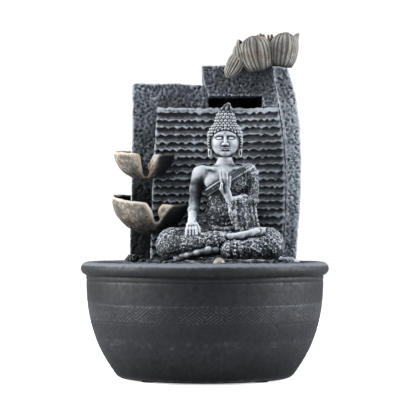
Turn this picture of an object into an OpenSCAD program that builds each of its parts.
// Tabletop water fountain: a round bowl, a lift-out sculpture with a
// seated figure in front of a rippled water wall, two pouring cups, a lotus,
// and a small submersible pump hidden in the pedestal.
// Frame: +Z up, -Y is the front, origin on the resting plane at the bowl's centre.

/* [Bowl] */
// Outside diameter over the rolled rim
bowl_d = 210; // [206:1:216]
// Height of the bowl to the top of the rim
bowl_h = 97.5; // [96:0.5:99]
// Diameter of the foot
foot_d = 148; // [140:1:152]
// Wall thickness of the casting
bowl_wall = 5.5; // [4.5:0.5:6]
// Radius of the rolled rim's section
rim_r = 5.5; // [5:0.25:6]
// Inside floor height
floor_z = 8; // [8:0.5:8]
// Curvature exponent of the belly
belly_n = 2.5; // [2.2:0.1:2.8]

/* [Sculpture] */
// Height of the rocky deck that the figure sits on
deck_z = 98; // [98:0.5:98]
// Thickness of the deck
deck_t = 12; // [8:1:14]
// Pitch of the ripple rows
ripple_pitch = 6.3; // [5.5:0.1:8]
// How far each ripple lip stands out
ripple_out = 3; // [1.5:0.25:3]
// Top of the ripple wall
ripple_top = 229; // [229:0.5:229]
// Thickness of the back slab
slab_t = 11; // [11:1:11]

/* [Cups] */
// Rim radius of the upper cup
upper_cup_r = 25.5; // [23:0.5:26]
// Depth of the upper cup
upper_cup_depth = 24.5; // [20:0.5:26]
// Rim radius of the lower cup
lower_cup_r = 32.5; // [30:0.5:33]
// Depth of the lower cup
lower_cup_depth = 30; // [26:0.5:31]
// Cup wall thickness
cup_wall = 3; // [2.5:0.25:3.5]

/* [Lotus] */
// Number of outer petals
petals = 7; // [5:1:9]
// Half width scale of a petal
petal_r = 16; // [15:0.5:17]
// Petal thickness
petal_t = 1.8; // [1.4:0.1:2.4]

/* [Pump] */
// Rotor magnet diameter
magnet_d = 12; // [11:0.5:12.5]
// Impeller diameter
impeller_d = 19; // [16:0.5:20]
// Number of impeller blades
blades = 6; // [4:1:8]
// Riser tube outside diameter
tube_od = 11; // [10:0.5:11]
// Riser tube inside diameter
tube_id = 8; // [8:0.5:8]

/* [Hidden] */
$fn = 64;

slate = [0.20, 0.21, 0.23];
ash = [0.42, 0.44, 0.46];
sand = [0.55, 0.50, 0.43];

// ---------- shared outlines ----------
neck_z = 84;                         // where the belly meets the rim
belly_r = bowl_d / 2 - rim_r + 0.8;  // widest radius of the wall
rim_c = [bowl_d / 2 - rim_r, bowl_h - rim_r];
function wall_r(z) = foot_d / 2 + (belly_r - foot_d / 2) * (1 - pow(1 - min(z, neck_z) / neck_z, belly_n));

// inner face of the pillar (and right edge of the walls), from the deck up
pillar_in = [[64.7, deck_z], [67.7, 132], [68.6, 161], [68.1, 180], [66.7, 201], [61.8, 235], [56.7, 263]];
pillar_out = [[69.8, 263], [77.0, 239.3], [79.4, 222.3], [80.9, 210.4], [81.7, 180.7], [80.9, 141.7], [78.9, 122], [77.0, deck_z]];
// x of the inner face at height z, between two listed points
function lerp_x(p, z, i = 0) =
    i >= len(p) - 2 || z <= p[i + 1][1]
        ? p[i][0] + (p[i + 1][0] - p[i][0]) * (z - p[i][1]) / (p[i + 1][1] - p[i][1])
        : lerp_x(p, z, i + 1);

module front_extrude(y0, y1) {
    // extrudes an X-Z outline along Y
    translate([0, y1, 0]) rotate([90, 0, 0]) linear_extrude(height = y1 - y0) children();
}
module rounded_rect(w, h, r) {
    // centred rounded rectangle made of squares and circles
    square([w - 2 * r, h], center = true);
    square([w, h - 2 * r], center = true);
    for (sx = [-1, 1], sy = [-1, 1]) translate([sx * (w / 2 - r), sy * (h / 2 - r)]) circle(r = r);
}
module rounded_box_x(x0, x1, yc, zc, wy, hz, r) {
    translate([x0, yc, zc]) rotate([90, 0, 90]) linear_extrude(height = x1 - x0) rounded_rect(wy, hz, r);
}
module x_cyl(x0, x1, yc, zc, r) {
    translate([x0, yc, zc]) rotate([0, 90, 0]) cylinder(r = r, h = x1 - x0);
}
module y_cyl(xc, y0, y1, zc, r) {
    translate([xc, y0, zc]) rotate([-90, 0, 0]) cylinder(r = r, h = y1 - y0);
}

// ---------- bowl ----------
pad_pos = [for (a = [45, 135, 225, 315]) [62 * cos(a), 62 * sin(a)]];

module bowl() {
    outer = [for (i = [0 : 14]) let (z = 1 + (neck_z - 1) * i / 14) [wall_r(z - 1), z]];
    inner = [for (i = [0 : 12]) let (z = neck_z - (neck_z - floor_z - 4) * i / 12) [wall_r(z - 1) - bowl_wall, z]];
    color(slate) difference() {
        union() {
            rotate_extrude($fn = 128) polygon(concat(
                [[0, 3.5], [54, 3.5], [57, 1]], outer,
                [[rim_c[0], rim_c[1]], [rim_c[0] - 4, rim_c[1] + 2]], inner,
                [[wall_r(floor_z) - bowl_wall - 4, floor_z], [0, floor_z]]));
            // rolled rim
            rotate_extrude($fn = 128) translate(rim_c) circle(r = rim_r, $fn = 48);
            // fine bead under the rim
            rotate_extrude($fn = 128) translate([belly_r - 0.4, neck_z + 0.6]) circle(r = 1.6, $fn = 24);
        }
        // pockets for the pads
        for (p = pad_pos) translate([p[0], p[1], -1]) cylinder(r = 8.2, h = 3.5);
        // cable notch in the rear of the rim
        translate([-4.5, 80, 92]) cube([9, 40, 20]);
        y_cyl(0, 80, 120, 92, 4.5);
    }
}

module foot_pads() {
    color([0.08, 0.08, 0.08]) for (p = pad_pos) translate([p[0], p[1], 0]) cylinder(r = 8, h = 2.5);
}

// ---------- pump ----------
pump_x0 = -26;   // rear face of the pump body
pump_x1 = 16;    // front face of the pump body
pump_y = 33;
pump_z = 27;     // height of the rotor's axis
nozzle_x = 10;
nozzle_top = 56;

module pump_outline(x0, x1, inset = 0) {
    rounded_box_x(x0, x1, pump_y, pump_z, 26 - 2 * inset, 28 - 2 * inset, 4 - min(inset, 3));
}

module pump_body() {
    color([0.09, 0.09, 0.10]) difference() {
        union() {
            pump_outline(pump_x0, pump_x1);
            translate([nozzle_x, pump_y, 40]) cylinder(r = tube_id / 2 - 0.05, h = nozzle_top - 40);
            // collar at the foot of the nozzle
            translate([nozzle_x, pump_y, 40]) cylinder(r = 6, h = 3);
        }
        // volute chamber and rotor well
        x_cyl(4, pump_x1 + 1, pump_y, pump_z, 11);
        x_cyl(-14, 5, pump_y, pump_z, magnet_d / 2 + 0.6);
        x_cyl(-16.5, -13, pump_y, pump_z, 2.6);
        // nozzle bore
        translate([nozzle_x, pump_y, 36]) cylinder(r = 2.8, h = nozzle_top);
        // slots for the stator's legs and the coil's pocket
        for (z = [14.8, 34.8]) translate([pump_x0 - 1, 25.8, z]) cube([26, 14.4, 4.4]);
        translate([pump_x0 - 1, 22.2, 14.8]) cube([9, 21.6, 24.4]);
    }
}

module pump_end_cap() {
    color([0.12, 0.12, 0.13]) difference() {
        pump_outline(pump_x0 - 2, pump_x0);
        x_cyl(pump_x0 - 3, pump_x0 + 1, pump_y, 18, 3.1);
    }
}

module stator_core() {
    color([0.45, 0.45, 0.47]) union() {
        for (z = [15, 35]) translate([-23.2, 26, z]) cube([22, 14, 4]);
        translate([-23.2, 26, 15]) cube([4, 14, 24]);
    }
}

module stator_coil() {
    color([0.62, 0.32, 0.12]) difference() {
        translate([-25.2, 22.6, 20]) cube([7, 20.8, 14]);
        translate([-23.3, 25.9, 10]) cube([4.2, 14.2, 40]);
    }
}

module rotor_shaft() {
    color([0.92, 0.92, 0.90]) x_cyl(-16.2, 17.6, pump_y, pump_z, 1.0);
}

module shaft_bushes() {
    color([0.15, 0.15, 0.15]) for (x = [[-16.4, -14.2], [15, 18]])
        difference() {
            x_cyl(x[0], x[1], pump_y, pump_z, 2.5);
            x_cyl(x[0] - 1, x[1] + 1, pump_y, pump_z, 1.03);
        }
}

module rotor_magnet() {
    color([0.30, 0.30, 0.32]) difference() {
        x_cyl(-13.6, 3.5, pump_y, pump_z, magnet_d / 2);
        x_cyl(-15, 5, pump_y, pump_z, 1.06);
    }
}

module impeller() {
    color([0.85, 0.85, 0.83]) difference() {
        union() {
            x_cyl(3.5, 13.2, pump_y, pump_z, 3);
            x_cyl(4.6, 6.0, pump_y, pump_z, impeller_d / 2);
            for (i = [0 : blades - 1]) translate([0, pump_y, pump_z]) rotate([i * 360 / blades, 0, 0])
                translate([5.5, 2.5, -0.6]) cube([7.2, impeller_d / 2 - 2.8, 1.2]);
        }
        x_cyl(0, 20, pump_y, pump_z, 1.06);
    }
}

module impeller_cover() {
    color([0.12, 0.12, 0.13]) {
        difference() {
            pump_outline(pump_x1, pump_x1 + 2);
            x_cyl(pump_x1 - 1, pump_x1 + 3, pump_y, pump_z, 5.6);
        }
        difference() {
            union() {
                x_cyl(14.9, pump_x1 + 2, pump_y, pump_z, 3.5);
                for (a = [90, 210, 330]) translate([pump_x1, pump_y, pump_z]) rotate([a, 0, 0])
                    translate([0, 2.9, -0.8]) cube([2, 3, 1.6]);
            }
            x_cyl(10, 30, pump_y, pump_z, 2.53);
        }
    }
}

module suction_cups() {
    color([0.10, 0.10, 0.10]) for (x = [-18, 8], y = [25, 41]) translate([x, y, floor_z])
        union() {
            cylinder(r1 = 6.5, r2 = 3.2, h = 3);
            cylinder(r = 2.4, h = 5);
        }
}

module cable_gland() {
    color([0.08, 0.08, 0.08]) difference() {
        union() {
            x_cyl(pump_x0 - 2, pump_x0 - 0.6, pump_y, 18, 3.0);
            x_cyl(pump_x0 - 6, pump_x0 - 2, pump_y, 18, 4.2);
            x_cyl(pump_x0 - 11, pump_x0 - 5, pump_y, 18, 3.2);
        }
        x_cyl(pump_x0 - 12, pump_x0 - 1.5, pump_y, 18, 2.2);
    }
}

module intake_grille() {
    color([0.10, 0.10, 0.11]) difference() {
        pump_outline(18, 30);
        pump_outline(17, 28.5, 1.5);
        // intake slots
        for (i = [-4 : 4]) if (abs(i) > 1)
            translate([27, pump_y + i * 2.6 - 0.7, 17]) cube([5, 1.4, 20]);
        for (i = [-1 : 1], z = [16.5, 33]) translate([27, pump_y + i * 2.6 - 0.7, z]) cube([5, 1.4, 4.5]);
        for (i = [0 : 2]) translate([20.5 + i * 2.8, 10, 18]) cube([1.4, 40, 18]);
        x_cyl(27, 31, pump_y, pump_z, 2.0);
    }
}

module foam_filter() {
    color([0.14, 0.15, 0.17]) translate([19, 22.2, 15.4]) cube([8, 21.6, 23.2]);
}

module flow_dial() {
    color([0.75, 0.12, 0.10]) difference() {
        union() {
            x_cyl(30.3, 32.3, pump_y, pump_z, 9);
            x_cyl(28.2, 31, pump_y, pump_z, 1.95);
            translate([30.3, pump_y - 1.6, pump_z]) cube([3.2, 3.2, 12.5]);
        }
        // two quarter windows
        for (a = [45, 225]) translate([29, pump_y, pump_z]) rotate([a, 0, 0])
            translate([0, 3.4, -2.6]) cube([5, 3.8, 5.2]);
    }
}

// ---------- pedestal ----------
deck_pts = [[-69, -4], [-67, 24], [-54, 48], [-10, 57], [52, 56], [68, 44], [79, 20], [79, -14],
            [67, -44], [42, -63], [10, -71], [-24, -65], [-50, -46], [-64, -26]];
skirt_pts = [[-54, -26], [-54, 40], [-44, 52], [44, 52], [54, 40], [54, -26], [36, -44], [-36, -44]];
skirt_in = [[-49.5, -24], [-49.5, 38.4], [-42, 47.5], [42, 47.5], [49.5, 38.4], [49.5, -24], [34, -39.5], [-34, -39.5]];
led_pos = [11.7, -61];

module pedestal() {
    color(slate) difference() {
        union() {
            translate([0, 0, deck_z - deck_t]) linear_extrude(height = deck_t) polygon(deck_pts);
            translate([0, 0, floor_z]) linear_extrude(height = deck_z - deck_t - floor_z + 1)
                difference() { polygon(skirt_pts); polygon(skirt_in); }
        }
        // riser tube passage
        translate([nozzle_x, pump_y, deck_z - deck_t - 5]) cylinder(r = tube_od / 2 + 0.5, h = deck_t + 10);
        // lamp pocket
        translate([led_pos[0], led_pos[1], deck_z - 8]) cylinder(r = 6.2, h = 20);
        // water inlets at the foot
        for (x = [-28 : 8 : 28]) translate([x - 1.5, -50, floor_z - 1]) cube([3, 15, 19]);
        for (y = [-12 : 8 : 20], s = [-1, 1]) translate([s * 54 - 6, y - 1.5, floor_z - 1]) cube([12, 3, 19]);
        // service arch at the rear
        translate([-18, 40, floor_z - 1]) cube([36, 20, 27]);
        y_cyl(0, 40, 60, floor_z + 26, 18);
    }
}

module led_housing() {
    color([0.10, 0.10, 0.10]) difference() {
        translate([led_pos[0], led_pos[1], deck_z - 8]) cylinder(r = 6, h = 7);
        translate([led_pos[0], led_pos[1], deck_z - 6]) cylinder(r = 4.6, h = 20);
    }
}

module led_board() {
    color([0.95, 0.93, 0.80]) translate([led_pos[0], led_pos[1], deck_z - 6]) {
        cylinder(r = 4.3, h = 1.2);
        translate([0, 0, 1.2]) cylinder(r = 1.5, h = 1.2);
    }
}

module led_lens() {
    color([0.85, 0.88, 0.85, 0.5]) translate([led_pos[0], led_pos[1], deck_z - 1]) difference() {
        union() {
            cylinder(r = 5.2, h = 1);
            intersection() { sphere(r = 4.8); translate([-6, -6, 0]) cube([12, 12, 6]); }
        }
        intersection() { sphere(r = 3.8); translate([-6, -6, -1]) cube([12, 12, 6]); }
        translate([0, 0, -1]) cylinder(r = 3.8, h = 1.01);
    }
}

// ---------- walls ----------
slab_y0 = 16;
slab_y1 = slab_y0 + slab_t;
block_left = [[-2.8, 265], [-2.3, 252.4], [1.1, 244], [3.2, 238.3]];
slot_x1 = 49;
slot_top = 238.3;

module back_slab() {
    color(slate) difference() {
        front_extrude(slab_y0, slab_y1) polygon(concat(
            [[-64.5, deck_z], [-63, 130], [-63, 251], [-30, 250.6], [-2.2, 249.8], [1.1, 244], [3.2, slot_top], [3.2, ripple_top],
             [lerp_x(pillar_in, ripple_top), ripple_top]],
            [for (i = [4 : -1 : 0]) pillar_in[i]]));
        // outlet of the cup feed
        y_cyl(-57, slab_y0 - 5, slab_y1 + 5, 183, 3.9);
        // recess behind for the tee
        translate([nozzle_x, pump_y, 166.5]) cylinder(r = 7.6, h = 33);
    }
}

module ripple_wall() {
    y_back = slab_y0;
    y_face = 8;
    rows = floor((ripple_top - deck_z) / ripple_pitch);
    saw = [for (i = [0 : rows - 1]) let (z = ripple_top - i * ripple_pitch)
        each [[y_face, z], [y_face - ripple_out, z - ripple_pitch * 0.62], [y_face - ripple_out * 0.9, z - ripple_pitch * 0.75]]];
    color(ash) intersection() {
        translate([-80, 0, 0]) rotate([90, 0, 90]) linear_extrude(height = 180)
            polygon(concat([[y_back, deck_z], [y_back, ripple_top]], saw, [[y_face, ripple_top - rows * ripple_pitch], [y_face, deck_z]]));
        front_extrude(0, 20) polygon(concat(
            [[-47, deck_z], [-45.5, 150], [-41, ripple_top + 1], [lerp_x(pillar_in, ripple_top + 1), ripple_top + 1]],
            [for (i = [4 : -1 : 0]) pillar_in[i]]));
    }
}

module right_pillar() {
    color(ash) front_extrude(-8, 34) polygon(concat(pillar_in, pillar_out));
}

module spout_block() {
    color(ash) front_extrude(0, slab_y1) polygon(concat(
        block_left,
        [[slot_x1, slot_top], [slot_x1, ripple_top], [lerp_x(pillar_in, ripple_top), ripple_top], [61.8, 235], [56.7, 263], [56.7, 265]]));
}

module spout_trough() {
    y0 = slab_y1;
    y1 = 44;
    color(slate) difference() {
        translate([1, y0, 219]) cube([46.5, y1 - y0, 27]);
        translate([3, y0 + 2, 221]) cube([42.5, y1 - y0 - 4, 30]);
        translate([3, y0 - 1, ripple_top]) cube([42.5, 5, 30]);
        translate([nozzle_x, pump_y, 210]) cylinder(r = tube_od / 2 + 0.1, h = 20);
    }
}

screw_pos = [[-33, 112], [-33, 238], [51, 112], [51, 238]];

module rear_housing() {
    color(slate) difference() {
        union() {
            front_extrude(slab_y1, 45) difference() {
                polygon([[-38, deck_z], [-38, 246], [-34, 250], [52, 250], [56, 246], [56, deck_z]]);
                polygon([[-34.5, deck_z - 1], [-34.5, 246.5], [52.5, 246.5], [52.5, deck_z - 1]]);
            }
            // screw bosses
            for (p = screw_pos) front_extrude(slab_y1, 45)
                translate([p[0] < 0 ? -36 : p[0] - 3, p[1] - 3]) square([p[0] < 0 ? 6 : 6, 6]);
        }
        for (p = screw_pos) y_cyl(p[0], 33, 50, p[1], 1.5);
        // passage of the cup feed
        x_cyl(-40, -33, pump_y, 183, 3.7);
    }
}

module rear_cover() {
    // shallow bowed panel closing the service duct
    color(slate) difference() {
        translate([0, 0, deck_z + 0.3]) linear_extrude(height = 151.7) polygon(concat(
            [for (i = [0 : 10]) let (t = i / 10) [-38 + 94 * t, 48 + 6 * sin(180 * t)]],
            [[56, 45], [-38, 45]]));
        // hollow towards the duct
        translate([0, 0, deck_z + 4]) linear_extrude(height = 143) polygon(concat(
            [for (i = [0 : 10]) let (t = i / 10) [-29 + 76 * t, 47 + 4.4 * sin(180 * t)]],
            [[47, 44], [-29, 44]]));
        // screw holes and head seats
        for (p = screw_pos) { y_cyl(p[0], 40, 60, p[1], 1.7); y_cyl(p[0], 47.5, 60, p[1], 3.2); }
    }
}

module cover_screws() {
    color([0.70, 0.70, 0.72]) for (p = screw_pos) difference() {
        union() { y_cyl(p[0], 34, 48, p[1], 1.4); y_cyl(p[0], 47.5, 49.3, p[1], 3.0); }
        translate([p[0] - 2, 48.6, p[1] - 0.4]) cube([4, 2, 0.8]);
        translate([p[0] - 0.4, 48.6, p[1] - 2]) cube([0.8, 2, 4]);
    }
}

// ---------- tubes ----------
tee_z = 183;

module lower_tube() {
    color([0.75, 0.80, 0.80, 0.6]) translate([nozzle_x, pump_y, 43.5]) difference() {
        cylinder(r = tube_od / 2, h = tee_z - 9 - 43.5);
        translate([0, 0, -1]) cylinder(r = tube_id / 2, h = 200);
    }
}

module upper_tube() {
    color([0.75, 0.80, 0.80, 0.6]) translate([nozzle_x, pump_y, tee_z + 9]) difference() {
        cylinder(r = tube_od / 2, h = 222.5 - tee_z - 9);
        translate([0, 0, -1]) cylinder(r = tube_id / 2, h = 200);
    }
}

module tee_fitting() {
    color([0.12, 0.12, 0.13]) difference() {
        union() {
            translate([nozzle_x, pump_y, tee_z - 16]) cylinder(r = 7.2, h = 32);
            x_cyl(nozzle_x - 17, nozzle_x, pump_y, tee_z, 5.4);
        }
        translate([nozzle_x, pump_y, tee_z - 17]) cylinder(r = tube_od / 2 + 0.03, h = 8);
        translate([nozzle_x, pump_y, tee_z + 9]) cylinder(r = tube_od / 2 + 0.03, h = 8);
        translate([nozzle_x, pump_y, tee_z - 17]) cylinder(r = 4, h = 34);
        x_cyl(nozzle_x - 18, nozzle_x - 10, pump_y, tee_z, 3.53);
        x_cyl(nozzle_x - 18, nozzle_x, pump_y, tee_z, 2.4);
    }
}

module cup_feed_tube() {
    // small tube to the upper cup, with one square bend
    bend = 8;
    color([0.75, 0.80, 0.80, 0.6]) difference() {
        union() {
            x_cyl(-57 + bend, nozzle_x - 10, pump_y, tee_z, 3.5);
            translate([-57 + bend, pump_y - bend, tee_z]) rotate([0, 0, 90])
                rotate_extrude(angle = 90) translate([bend, 0]) circle(r = 3.5, $fn = 32);
            y_cyl(-57, 13, pump_y - bend, tee_z, 3.5);
        }
        x_cyl(-57 + bend, nozzle_x, pump_y, tee_z, 2.4);
        translate([-57 + bend, pump_y - bend, tee_z]) rotate([0, 0, 90])
            rotate_extrude(angle = 90) translate([bend, 0]) circle(r = 2.4, $fn = 32);
        y_cyl(-57, 0, pump_y - bend, tee_z, 2.4);
    }
}

// ---------- cups ----------
module cup_shell(r, d, w) {
    // revolved cup, rim plane at z = 0
    n = 12;
    outer = [for (i = [0 : n]) let (a = 90 * i / n) [r * sin(a), -d * cos(a)]];
    inner = [for (i = [n : -1 : 0]) let (a = 90 * i / n) [(r - w) * sin(a), -(d - w) * cos(a)]];
    rotate_extrude($fn = 96) polygon(concat(outer, inner));
}

module wall_keepout() {
    // everything at and behind the faces of the walls
    translate([-120, slab_y0, 50]) cube([240, 60, 220]);
    front_extrude(4.6, 40) polygon([[-47.4, 90], [-45.9, 150], [-41.4, 235], [90, 235], [90, 90]]);
}

upper_cup_c = [-51, -2, 190.5];
lower_cup_c = [-46, -3, 150.5];

module upper_cup() {
    color(sand) difference() {
        translate(upper_cup_c) rotate([6.5, 3.5, 0]) difference() {
            cup_shell(upper_cup_r, upper_cup_depth, cup_wall);
            // pouring notch
            front_extrude(-60, -6) polygon([[-5.5, 8], [-3.4, 0], [1.6, -17], [3.0, -19], [4.6, -17], [9, 0], [11, 8]]);
        }
        wall_keepout();
        y_cyl(-57, 0, 40, 183, 3.9);
    }
}

module lower_cup() {
    color(sand) difference() {
        translate(lower_cup_c) rotate([6, 9, 0]) difference() {
            cup_shell(lower_cup_r, lower_cup_depth, cup_wall);
            front_extrude(-70, -8) polygon([[-10, 8], [-6, 0], [6.0, -15.5], [8, -17], [10, -15.5], [13.5, 0], [15, 8]]);
        }
        wall_keepout();
    }
}

// ---------- lotus ----------
lotus_c = [50, 4, 265];

module bead(c, s) { translate(c) scale(s) sphere(r = 1, $fn = 16); }
module petal(w, h, out) {
    // one petal leaning out along +X: foot, belly, shoulder and tip
    t = petal_t;
    hull() { bead([12.8, 0, 3.2], [4, 5, 2.6]); bead([out - 4, 0, 6.5], [t, w * 0.8, 4]); }
    hull() { bead([out - 4, 0, 6.5], [t, w * 0.8, 4]); bead([out, 0, h * 0.5], [t, w, 4]); }
    hull() { bead([out, 0, h * 0.5], [t, w, 4]); bead([out + 1, 0, h * 0.8], [t, w * 0.55, 3]); }
    hull() { bead([out + 1, 0, h * 0.8], [t, w * 0.55, 3]); bead([out + 2.5, 0, h - 1.5], [t * 0.8, 1.4, 1.2]); }
}

module lotus_petals() {
    color(sand) union() {
        for (i = [0 : petals - 1]) translate(lotus_c)
            rotate([0, 0, -95.7 + i * 360 / petals]) petal(petal_r * 0.7, i == 0 ? 24.3 : 27.6, i == 0 ? 22.3 : 27.1);
        // drooping petal over the front left
        translate(lotus_c + [-15, -14.2, 0.6]) rotate([0, 33, 193]) hull() {
            bead([0, 0, 0], [5, 5.4, 2]);
            bead([9, 0, 2.2], [4, 7.5, 1.6]);
            bead([15.5, 0, 0], [1.6, 2.1, 1.4]);
        }
        translate(lotus_c) cylinder(r = 13, h = 4);
        translate(lotus_c + [-3, -13.4, 0]) cylinder(r = 12, h = 3.7);
    }
}

module lotus_pod() {
    color([0.45, 0.33, 0.18]) difference() {
        translate(lotus_c + [0, 0, 4]) union() { cylinder(r1 = 5, r2 = 7.5, h = 15); }
        for (i = [0 : 6]) translate(lotus_c + [4.6 * cos(i * 60), 4.6 * sin(i * 60), 18]) cylinder(r = 1, h = 3);
        translate(lotus_c + [0, 0, 18]) cylinder(r = 1, h = 3);
    }
}

module lotus_stamens() {
    color([0.60, 0.38, 0.15]) difference() {
        union() {
            translate(lotus_c + [0, 0, 4]) cylinder(r = 8.2, h = 2);
            for (i = [0 : 13]) rotate([0, 0, 0]) translate(lotus_c + [0, 0, 4]) rotate([0, 0, i * 360 / 14])
                translate([7.2, 0, 1]) rotate([0, 14, 0]) { cylinder(r = 0.7, h = 14); translate([0, 0, 14]) sphere(r = 1.2, $fn = 16); }
        }
        translate(lotus_c + [0, 0, 4]) translate([0, 0, -0.5]) cylinder(r1 = 5.3, r2 = 5.75, h = 3);
    }
}

// ---------- rocks ----------
module rock_lump(p, r) { translate(p) sphere(r = r, $fn = 14); }

module rock_left() {
    color(slate) intersection() {
        hull() { rock_lump([-62, 6, 99], 5); rock_lump([-59, 8, 100.5], 4.4); rock_lump([-64, 10, 98], 4.2); rock_lump([-57.5, 4, 98], 3.4); }
        translate([-80, -20, deck_z]) cube([60, slab_y0 + 20 - 0.2, 30]);
    }
}

module rock_right() {
    color(ash) intersection() {
        union() {
            hull() { rock_lump([57.5, -20, 100.5], 5); rock_lump([60.5, -17, 99], 5); rock_lump([56, -17, 98.5], 4); rock_lump([53.5, -22, 97.5], 3.5); }
            hull() { rock_lump([68, -17, 96.8], 5); rock_lump([72.5, -15, 96], 5); rock_lump([64, -19, 97], 4); }
        }
        translate([40, -60, deck_z]) cube([60, 51.7, 30]);
    }
}

// ---------- seated figure ----------
// Joints of the figure: [x, y, z, radius]
function pt(j) = [j[0], j[1], j[2]];
module ball(j) { translate(pt(j)) sphere(r = j[3], $fn = 14); }
module limb(a, b) { hull() { ball(a); ball(b); } }
module blob(c, s) { translate(c) scale(s) sphere(r = 1, $fn = 22); }

hip_r = [5, -14, 121, 11];
hip_l = [28, -14, 121, 11];
knee_r = [-28.5, -42, 113.5, 10.5];
knee_l = [54.5, -42, 113.5, 10.5];
ankle_r = [18, -51, 116, 4.6];
ankle_l = [18, -55, 108, 4.4];
toe_r = [46, -47, 122.5, 3.4];
toe_l = [-22, -53, 103.5, 3.2];
shoulder_r = [-3, -17, 171.5, 6.8];
shoulder_l = [36, -17, 171.5, 6.8];
elbow_r = [-8.9, -14, 147, 4.6];
wrist_r = [-10.3, -36, 131, 3.2];
hand_r = [-10, -45, 124, 4.2];
finger_r = [-9.6, -51.5, 116, 3.2];
elbow_l = [40, -17, 146.5, 5.2];
wrist_l = [24, -36, 147.5, 3.4];
palm_l = [20.5, -38.5, 156, 3.6];
finger_l = [14, -37.5, 171.5, 2.0];

module seated_figure() {
    color(ash) intersection() {
        union() {
            // rocky seat
            translate([0, 0, deck_z]) linear_extrude(height = 4) polygon(
                [[-30, -40], [-26, -52], [-6, -55.3], [30, -55.3], [50, -52], [58, -42], [48, -26], [36, -6], [0, -4], [-14, -16]]);
            // pelvis, waist and chest
            hull() { blob([16.5, -14, 119], [24, 14, 14]); blob([16.5, -15, 133], [15, 10, 8]); }
            hull() { blob([16.5, -15, 133], [13.5, 9.5, 8]); blob([16.5, -15, 146], [10.5, 8, 8]); }
            hull() { blob([16.5, -15, 146], [10.5, 8, 8]); blob([16.5, -15.5, 164], [18.5, 9.5, 10]); }
            hull() { blob([16.5, -15.5, 166], [18.5, 9, 8]); ball(shoulder_r); ball(shoulder_l); }
            // thighs and shins
            limb(hip_r, knee_r);
            limb(hip_l, knee_l);
            hull() { ball(knee_r); ball([2, -47, 112, 8.5]); }
            hull() { ball([2, -47, 112, 8.5]); ball(ankle_r); }
            hull() { ball(knee_l); ball([34, -50, 109, 8]); }
            hull() { ball([34, -50, 109, 8]); ball(ankle_l); }
            // lap
            hull() { ball([16.5, -30, 113, 12]); ball([16.5, -16, 116, 13]); }
            // feet
            limb(ankle_r, toe_r);
            limb(ankle_l, toe_l);
            // right arm, resting on the knee
            limb(shoulder_r, elbow_r);
            limb(elbow_r, wrist_r);
            limb(wrist_r, hand_r);
            limb(hand_r, finger_r);
            // left arm, raised before the chest
            limb(shoulder_l, elbow_l);
            limb(elbow_l, wrist_l);
            limb(wrist_l, palm_l);
            limb(palm_l, finger_l);
            // robe hanging from the left forearm
            hull() { ball([27, -36, 144, 3]); ball([40, -20, 143, 3.4]); ball([33, -33, 127, 3]); ball([43, -24, 127, 3]); }
            // neck and head
            hull() { ball([17, -16.5, 177, 6.2]); ball([17.2, -18, 188, 6]); }
            hull() { blob([17.2, -20.5, 203], [12, 13.5, 13.5]); blob([17.2, -22.5, 193], [8.6, 9, 8.5]); }
            // hair, cranial bump and finial
            blob([17.2, -18.5, 208], [14.2, 14.5, 11.5]);
            blob([17.4, -18, 219], [8, 8, 6.5]);
            hull() { ball([17.6, -18, 224.5, 3.2]); ball([18.4, -18, 229, 1.0]); }
            // ears with long lobes
            for (s = [-1, 1]) hull() { ball([17.2 + s * 12.8, -18, 202, 2]); ball([17.2 + s * 12.6, -19, 190, 1.8]); }
        }
        translate([-60, -70, deck_z]) cube([140, 74.2, 140]);
    }
}

bowl();
foot_pads();
pump_body();
pump_end_cap();
stator_core();
stator_coil();
rotor_shaft();
shaft_bushes();
impeller_cover();
suction_cups();
cable_gland();
rotor_magnet();
impeller();
intake_grille();
foam_filter();
flow_dial();
pedestal();
back_slab();
ripple_wall();
right_pillar();
spout_block();
spout_trough();
rear_housing();
rear_cover();
cover_screws();
lower_tube();
tee_fitting();
upper_tube();
cup_feed_tube();
upper_cup();
lower_cup();
lotus_petals();
lotus_pod();
lotus_stamens();
seated_figure();
rock_left();
rock_right();
led_housing();
led_board();
led_lens();
